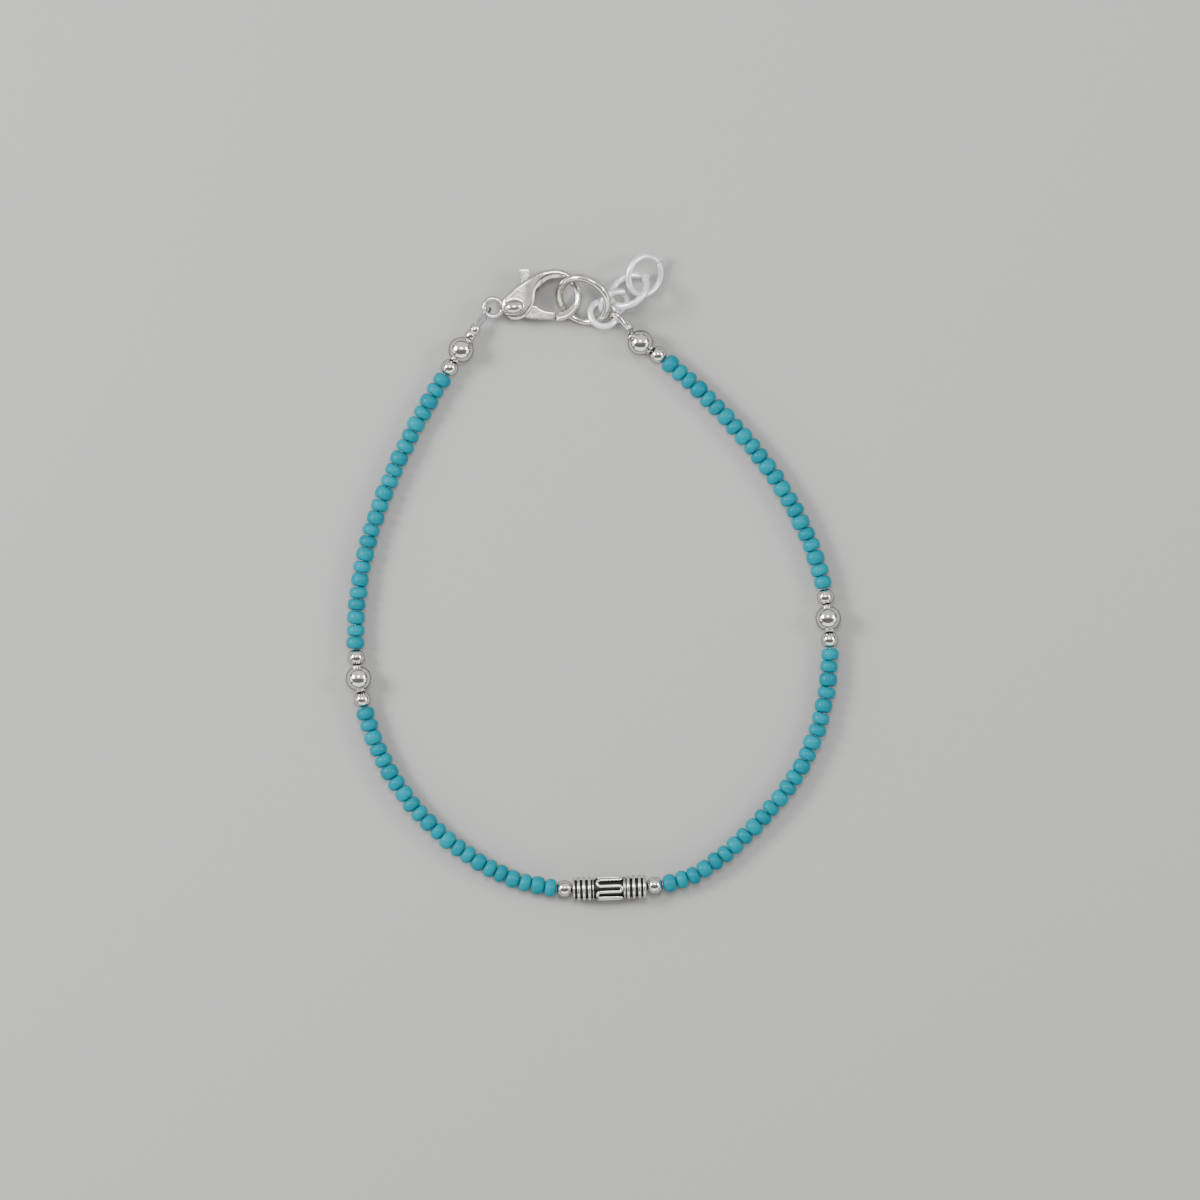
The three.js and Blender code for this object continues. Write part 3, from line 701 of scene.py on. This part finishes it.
def mark_recess(mesh):
    """Marks how deep each point lies under the bead's polished outside and ends."""
    recess = mesh.attributes.new("recess", "FLOAT", "POINT")
    for point, mark in zip(mesh.vertices, recess.data):
        radius = math.hypot(point.co.x, point.co.y)
        under = (BLACK_FROM - radius) / (BLACK_FROM - BLACK_TO)
        inward = (LENGTHS["tube"] / 2 - END_POLISH - abs(point.co.z)) / END_FADE
        mark.value = min(1, max(0, min(under, inward)))


def joined(meshes):
    form = bmesh.new()
    for mesh in meshes:
        form.from_mesh(mesh)
    return mesh_of(form, "joined")


def raised_ring(at, half, top):
    """A ring round the core: straight sides and a rounded edge."""
    foot = TUBE_CORE - RING_SUNK
    upper = [(foot + high * (top - foot), wide * half) for high, wide in RING_EDGE]
    section = [*[(r, -h) for r, h in reversed(upper)], *upper, (foot - RING_ROOT, 0)]
    return turned([(r, h + at) for r, h in section], TUBE_SIDES)


def round_wire(line, radius, sides, spacing, finish, caps=False):
    """A plain round wire or tube skin along a line."""
    return shaped_by(
        drawn_wire, line, Radius=radius, Sides=sides, Spacing=spacing, Strands=1, Groove=0.0, Twist=0.0,
        Caps=caps, Finish=finish,
    )


def band_points():
    """The bent wire's path: rows along the barrel, joined by half turns at both ends."""
    radius = TUBE_RADIUS - BAND_RADIUS
    path = []
    angle = BAND_FIRST
    forth = (BAND_WIDE, BAND_NARROW, BAND_FROM, BAND_TO, 1)
    back = (BAND_NARROW, BAND_WIDE, BAND_TO, BAND_FROM, -1)
    for _ in range(BAND_PAIRS):
        for last_gap, gap, near, far, way in (forth, back):
            last_bend = math.radians(last_gap) / 2 * radius
            bend = math.radians(gap) / 2 * radius
            first, last = near + way * last_bend, far - way * bend
            row = range(BAND_ROW_STEPS + 1)
            path += [(angle, first + (last - first) * t / BAND_ROW_STEPS) for t in row]
            middle = angle - gap / 2
            for step in range(1, BAND_BEND_STEPS):
                swing = math.pi * step / BAND_BEND_STEPS
                path.append((middle + gap / 2 * math.cos(swing), last + way * bend * math.sin(swing)))
            angle -= gap
    return [
        (radius * math.cos(math.radians(a)), radius * math.sin(math.radians(a)), along) for a, along in path
    ]


tube = next(item for item in strand if item.kind == "tube")
antiqued_silver = metal_finish(
    "antiqued_silver", light=(0.92, 0.91, 0.88, 1), dark=(0.78, 0.77, 0.74, 1), rough=(0.12, 0.26),
    patch_size=1.0, grain_size=0.12, dents=0.01, grain_depth=0.003,
)
core_end = LENGTHS["tube"] / 2 - CORE_INSET
core_side = [(TUBE_CORE, core_end * (2 * t / CORE_STEPS - 1)) for t in range(CORE_STEPS + 1)]
core = turned([(TUBE_BORE, -core_end), *core_side, (TUBE_BORE, core_end)], TUBE_SIDES)
end_rings = [raised_ring(at, half, TUBE_RADIUS) for at, half in TUBE_RINGS]
band_line = point_line(band_points(), closed=True)
band = round_wire(band_line, BAND_RADIUS, BAND_SIDES, BAND_SPACING, antiqued_silver)
tube_mesh = joined([core, *end_rings, raised_ring(*THIN_RING), raised_ring(*SHOULDER), band])
mark_recess(tube_mesh)
add_piece("tube_bead", on_thread(tube_mesh, tube), antiqued_silver, crease=50)


# Crimp: a soft silver tube squeezed flat over both ends of the wire. The pliers leave a slanting
# crease across its middle, with a rounded lobe on each side.
CRIMP_HALF = 0.9
CRIMP_WIDE = 0.67
CRIMP_HIGH = 0.62
CRIMP_TAPER = 0.22
CRIMP_FULLNESS = 5
CREASE_AT = 0.02
CREASE_SLANT = 0.16
CREASE_WIDTH = 0.13
CREASE_DEPTH = 0.24
CRIMP_STEPS = 28
CRIMP_SIDES = 40


def crimp_mesh():
    form = bmesh.new()
    rings = []
    for i in range(CRIMP_STEPS + 1):
        along = CRIMP_HALF * (2 * i / CRIMP_STEPS - 1)
        ring = []
        for k in range(CRIMP_SIDES):
            angle = math.tau * k / CRIMP_SIDES
            across, high = math.cos(angle), math.sin(angle)
            crease = math.exp(-(((along - CREASE_AT - CREASE_SLANT * across) / CREASE_WIDTH) ** 2))
            belly = 1 - CRIMP_TAPER * abs(along / CRIMP_HALF) ** CRIMP_FULLNESS
            size = belly * (1 - CREASE_DEPTH * crease)
            ring.append(form.verts.new((high * CRIMP_HIGH * size, across * CRIMP_WIDE * size, along)))
        rings.append(ring)
    for here, beyond in zip(rings, rings[1:]):
        for k in range(CRIMP_SIDES):
            side = (k + 1) % CRIMP_SIDES
            form.faces.new((here[k], here[side], beyond[side], beyond[k]))
    form.faces.new(rings[0])
    form.faces.new(rings[-1])
    bmesh.ops.recalc_face_normals(form, faces=form.faces)
    return mesh_of(form, "crimp")


add_piece("crimp", on_thread(crimp_mesh(), strand[0]), bright_silver)


# Wire guard: a short bent tube of bright silver, open at both ends. The wire's loop goes through
# it where it holds the first link, so that the link can't wear the wire through.
GUARD_RADIUS = 0.3
GUARD_WALL = 0.09
GUARD_SIDES = 28
GUARD_SPACING = 0.1


def hollowed(mesh, wall):
    """Gives an open skin a wall on its inside."""
    holder = holder_of(mesh)
    shell = holder.modifiers.new("wall", "SOLIDIFY")
    shell.thickness = wall
    shell.offset = -1
    return taken_from(holder)


guard_line = point_line(LOOP_GUARDED)
guard_skin = round_wire(guard_line, GUARD_RADIUS, GUARD_SIDES, GUARD_SPACING, bright_silver)
add_piece("wire_guard", hollowed(guard_skin, GUARD_WALL), bright_silver)


# Jump rings: rounds of silver wire wound on a rod and sawn through, so each has a narrow cut, with
# one end that may stand out. The big one hangs in the clasp. Four of white, frosted silver make the
# chain and the extender, and the last of them has a burr where it was sawn.
RING_STEPS = 72
RING_SIDES = 28
RING_SPACING = 0.15
RING_CUT = 4
RING_CUT_RADIUS = 2.32
STANDING_PART = 35
BURR_OUT = 0.46
BURR_SIZE = (0.24, 0.1, 0.12)
LUMP_SIDES = 40
LUMP_STEPS = 24
# low is the way that a ring slopes down, cut is where it is sawn, and out is how far an end stands out
RINGS = {
    "jump_ring": dict(
        wire=0.444, radius=3.05, at=(-1.18, 32.68, 2.49), tilt=40, low=238, cut=290, out=0
    ),
    "link_ring_1": dict(
        wire=0.38, radius=1.58, at=(1.21, 31.05, 1.82), tilt=21.3, low=70, cut=110, out=0
    ),
    "link_ring_2": dict(
        wire=0.38, radius=1.59, at=(2.41, 32.29, 1.48), tilt=43, low=305, cut=52, out=0.25
    ),
    "extender_ring_1": dict(
        wire=0.38, radius=2.32, at=(4.2, 33.77, 2.33), tilt=46.9, low=124, cut=37, out=0.42
    ),
    "extender_ring_2": dict(
        wire=0.373, radius=2.305, at=(6.03, 35.59, 1.79), tilt=37, low=340, cut=41, out=0.1
    ),
}


def ring_points(radius, cut, out):
    """Round from one side of the cut to the other; one end may stand out a little."""
    gap = RING_CUT * RING_CUT_RADIUS / radius
    points = []
    for k in range(RING_STEPS + 1):
        turn = (360 - gap) * k / RING_STEPS
        angle = math.radians(cut + gap / 2 + turn)
        reach = radius + out * max(0, 1 - turn / STANDING_PART) ** 2
        points.append((reach * math.cos(angle), reach * math.sin(angle), 0))
    return points


def swelling(place, size, turn):
    """A smooth rounded lump."""
    form = bmesh.new()
    bmesh.ops.create_uvsphere(form, u_segments=LUMP_SIDES, v_segments=LUMP_STEPS, radius=1)
    form.transform(
        Matrix.Translation(place) @ Matrix.Rotation(math.radians(turn), 4, "Z") @ Matrix.Diagonal((*size, 1))
    )
    return mesh_of(form, "swelling")


white_silver = metal_finish(
    "white_silver", light=(0.97, 0.98, 0.98, 1), dark=(0.8, 0.81, 0.82, 1), rough=(0.25, 0.37),
    patch_size=0.7, grain_size=0.12, dents=0.02, grain_depth=0.008, bare=0.62,
)
satin_silver = metal_finish(
    "satin_silver", light=(0.75, 0.73, 0.67, 1), dark=(0.52, 0.505, 0.46, 1), rough=(0.11, 0.2),
    patch_size=0.9, grain_size=0.14, dents=0.02, grain_depth=0.002, bare=0.94,
)
for node, ring in RINGS.items():
    big = node == "jump_ring"
    finish, slot = (satin_silver, "bright_silver") if big else (white_silver, "white_silver")
    line = point_line(ring_points(ring["radius"], ring["cut"], ring["out"]))
    mesh = round_wire(line, ring["wire"], RING_SIDES, RING_SPACING, finish, caps=True)
    if node == "extender_ring_2":
        way = math.radians(ring["cut"])
        reach = ring["radius"] + BURR_OUT
        burr = swelling((reach * math.cos(way), reach * math.sin(way), 0), BURR_SIZE, ring["cut"])
        mesh = joined([mesh, burr])
    low = math.radians(ring["low"])
    level = Vector((-math.sin(low), math.cos(low), 0))
    turn = Quaternion(level, math.radians(ring["tilt"])).to_matrix().to_4x4()
    mesh.transform(Matrix.Translation(ring["at"]) @ turn)
    add_piece(node, mesh, finish)


# Clasp: a lobster clasp cast in silver and polished. Its body is a plump casting, full over the
# spring and thinner along the hook, with a bevel inside the hook and a round eye for the wire. The
# lever turns on a pin between the cheeks: the gate closes the hook, and the tab is for a thumb.
CLASP_AT = (-11.82, 31.8, 1.68)
BODY_THICK = 0.98
BODY_THIN = 0.55
BODY_THINS_FROM = 3.4
BODY_THINS_TO = 6.4
BODY_WALL = 0.76
BODY_THIN_WALL = 0.23
BODY_BEVEL = 1.25
BODY_MESH = 0.09
BODY_COLUMNS = range(8, 120)
BODY_ROWS = range(-20, 54)
# The outline's points, each with the width of its bevel
BODY_BACK = [
    (1.12, -0.55, 0.4), (0.95, 0.1, 0.4), (1.02, 0.85, 0.35), (1.5, 1.45, 0.32), (2.1, 1.98, 0.3),
    (2.72, 2.55, 0.3), (3.4, 3.02, 0.3), (4.1, 3.42, 0.3), (4.75, 3.8, 0.3), (5.35, 4.15, 0.3),
    (5.95, 4.38, 0.3),
]
BODY_FRONT = [
    (5.24, 1.7, 0.52), (5.18, 1.2, 0.5), (5.08, 0.6, 0.48), (4.88, 0.1, 0.46), (4.35, -0.55, 0.44),
    (3.75, -1.15, 0.42), (3.1, -1.47, 0.4), (2.4, -1.52, 0.4), (1.75, -1.2, 0.4),
]
HOOK_OUTSIDE = dict(x=7.3, y=1.42, rx=3.15, ry=3.15, first=104, last=-90, steps=28, edge=0.3)
HOOK_INSIDE = dict(x=7.42, y=1.39, rx=2.22, ry=2.05, first=-91, last=155, steps=28, edge=0.58)
EYE_MIDDLE = 1.06
EYE_WIRE = 0.3
EYE_DEPTH = 1.2
EYE_STEPS = 16
EYE_SIDES = 48
DOME = dict(place=(2.45, 0.02, 0), size=(1.55, 1.15, 1.5), turn=8)
LUG = dict(place=(1.95, -1.02, 0), size=(0.85, 0.36, 0.95), turn=-38)
NUB = dict(place=(6.02, 2.86, 0), size=(0.34, 0.17, 0.3), turn=42)
PIVOT = (2.4, -0.2)
PIN_RADIUS = 0.45
PIN_HALF = 0.7
PIN_CORE = 0.02
PIN_SIDES = 32
SLOT_HALF = 0.62
SLOT_STEPS = 24
# Sectors about the pin: the radius and the first and last angle of each
SLOT_CUTS = [(5.04, -38, 41), (6, 60.5, 115), (2, 34, 124), (1.1, 0, 350)]
BODY_GRAIN = 0.06
BODY_FINE_GRAIN = BODY_GRAIN * 0.9
BODY_RUBS = 4
LEVER_GRAIN = 0.05
LEVER_RUBS = 6
RUB_STRENGTH = 0.5
FLOW_ROUNDS = 2
FLOW_SHARES = (0.25, 0.75)
KEEP_INSIDE = 1
OUTLINE_MERGE = 1e-5
LEVER_MERGE = 1e-4


def arc_edge(x, y, rx, ry, first, last, steps, edge):
    """Points of a curved edge, each with the width of its rounding."""
    angles = [math.radians(first + (last - first) * k / steps) for k in range(steps + 1)]
    return [(x + rx * math.cos(a), y + ry * math.sin(a), edge) for a in angles]


def flowing(line):
    """Cuts the corners of a closed line until it flows."""
    for _ in range(FLOW_ROUNDS):
        pairs = list(zip(line, [*line[1:], line[0]]))
        line = [
            tuple(p + (q - p) * share for p, q in zip(near, far))
            for near, far in pairs for share in FLOW_SHARES
        ]
    return line


def body_height(points, edge):
    """Half the body's thickness at each point: a bevel at the edge, then full."""
    start = np.array(edge)
    way = np.roll(start, -1, axis=0) - start
    offset = points[:, None, :] - start[None, :, :2]
    share = (offset * way[None, :, :2]).sum(axis=2) / (way[:, :2] ** 2).sum(axis=1)
    share = np.clip(share, 0, 1)
    distance = np.linalg.norm(offset - share[:, :, None] * way[None, :, :2], axis=2)
    inside = np.clip((distance / (start[:, 2] + share * way[:, 2])).min(axis=1), 0, 1)
    thinning = np.clip((points[:, 0] - BODY_THINS_FROM) / (BODY_THINS_TO - BODY_THINS_FROM), 0, 1)
    thinning = thinning * thinning * (3 - 2 * thinning)
    full = BODY_THICK + (BODY_THIN - BODY_THICK) * thinning
    wall = BODY_WALL + (BODY_THIN_WALL - BODY_WALL) * thinning
    return wall + (full - wall) * (1 - (1 - inside) ** BODY_BEVEL)


def bevelled_body():
    """The body without its eye: a flat form over its outline, thickened up and down alike."""
    edge = flowing([*BODY_BACK, *arc_edge(**HOOK_OUTSIDE), *arc_edge(**HOOK_INSIDE), *BODY_FRONT])
    grid = [Vector((BODY_MESH * i, BODY_MESH * j)) for i in BODY_COLUMNS for j in BODY_ROWS]
    rim = [(i, (i + 1) % len(edge)) for i in range(len(edge))]
    corners = [Vector(point[:2]) for point in edge]
    points, _, faces, *_ = delaunay_2d_cdt([*corners, *grid], rim, [], KEEP_INSIDE, OUTLINE_MERGE)
    heights = body_height(np.array([tuple(point) for point in points]), edge)
    form = bmesh.new()
    lower = [form.verts.new((*point, -height)) for point, height in zip(points, heights)]
    upper = [form.verts.new((*point, height)) for point, height in zip(points, heights)]
    for face in faces:
        form.faces.new([upper[i] for i in face])
        form.faces.new([lower[i] for i in reversed(face)])
    open_edges = [side for side in form.edges if side.is_boundary and side.verts[0].co.z > 0]
    over = dict(zip(upper, lower))
    for side in open_edges:
        first, second = side.verts
        form.faces.new((first, second, over[second], over[first]))
    bmesh.ops.delete(form, geom=[point for point in form.verts if not point.link_faces], context="VERTS")
    bmesh.ops.recalc_face_normals(form, faces=form.faces)
    return mesh_of(form, "body")


def flat_prism(outline, half):
    """An upright block over a flat outline."""
    form = bmesh.new()
    form.faces.new([form.verts.new((x, y, -half)) for x, y in outline])
    wall = bmesh.ops.extrude_face_region(form, geom=form.faces[:])["geom"]
    top = [part for part in wall if isinstance(part, bmesh.types.BMVert)]
    bmesh.ops.translate(form, verts=top, vec=(0, 0, 2 * half))
    bmesh.ops.recalc_face_normals(form, faces=form.faces)
    return mesh_of(form, "prism")


def rub_round(holder, grain, rounds):
    """Joins what overlaps and softens every edge, as casting and polishing leave them."""
    skin = holder.modifiers.new("skin", "REMESH")
    skin.mode, skin.voxel_size = "VOXEL", grain
    rub = holder.modifiers.new("rub", "SMOOTH")
    rub.factor, rub.iterations = RUB_STRENGTH, rounds


def clasp_body_mesh():
    """The casting with its slot for the lever sawn out and the pin put through."""
    angles = [math.tau * k / EYE_STEPS for k in range(EYE_STEPS)]
    eye = [(EYE_MIDDLE + EYE_WIRE * math.cos(a), EYE_DEPTH * EYE_WIRE * math.sin(a)) for a in angles]
    lumps = [swelling(**lump) for lump in (DOME, LUG, NUB)]
    holder = holder_of(joined([bevelled_body(), turned(eye, EYE_SIDES), *lumps]))
    rub_round(holder, BODY_GRAIN, BODY_RUBS)
    cutters = []
    for radius, first, last in SLOT_CUTS:
        arc = arc_edge(*PIVOT, radius, radius, first, last, SLOT_STEPS, edge=0)
        outline = [(x, y) for x, y, _ in arc]
        cutter = holder_of(flat_prism([PIVOT, *outline], SLOT_HALF))
        cut = holder.modifiers.new("slot", "BOOLEAN")
        cut.operation, cut.object = "DIFFERENCE", cutter
        cutters.append(cutter)
    half_pin = [(PIN_RADIUS, PIN_HALF), (PIN_CORE, PIN_HALF)]
    pin = holder_of(turned([*[(r, -h) for r, h in reversed(half_pin)], *half_pin], PIN_SIDES))
    pin.data.transform(Matrix.Translation((*PIVOT, 0)))
    fix = holder.modifiers.new("pin", "BOOLEAN")
    fix.operation, fix.object = "UNION", pin
    rub_round(holder, BODY_FINE_GRAIN, BODY_RUBS)
    mesh = taken_from(holder)
    for cutter in [*cutters, pin]:
        bpy.data.objects.remove(cutter)
    mesh.transform(Matrix.Translation(CLASP_AT))
    return mesh


def clasp_lever_mesh():
    """The CAD lever with its edges rubbed round."""
    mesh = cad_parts["clasp_lever"].data.copy()
    mesh.transform(Matrix.Scale(1 / MM, 4))
    form = bmesh.new()
    form.from_mesh(mesh)
    bmesh.ops.remove_doubles(form, verts=form.verts, dist=LEVER_MERGE)
    form.to_mesh(mesh)
    form.free()
    holder = holder_of(mesh)
    rub_round(holder, LEVER_GRAIN, LEVER_RUBS)
    return taken_from(holder)


add_piece("clasp_body", clasp_body_mesh(), satin_silver, crease=180)
add_piece("clasp_lever", clasp_lever_mesh(), satin_silver, body="lever", crease=180)
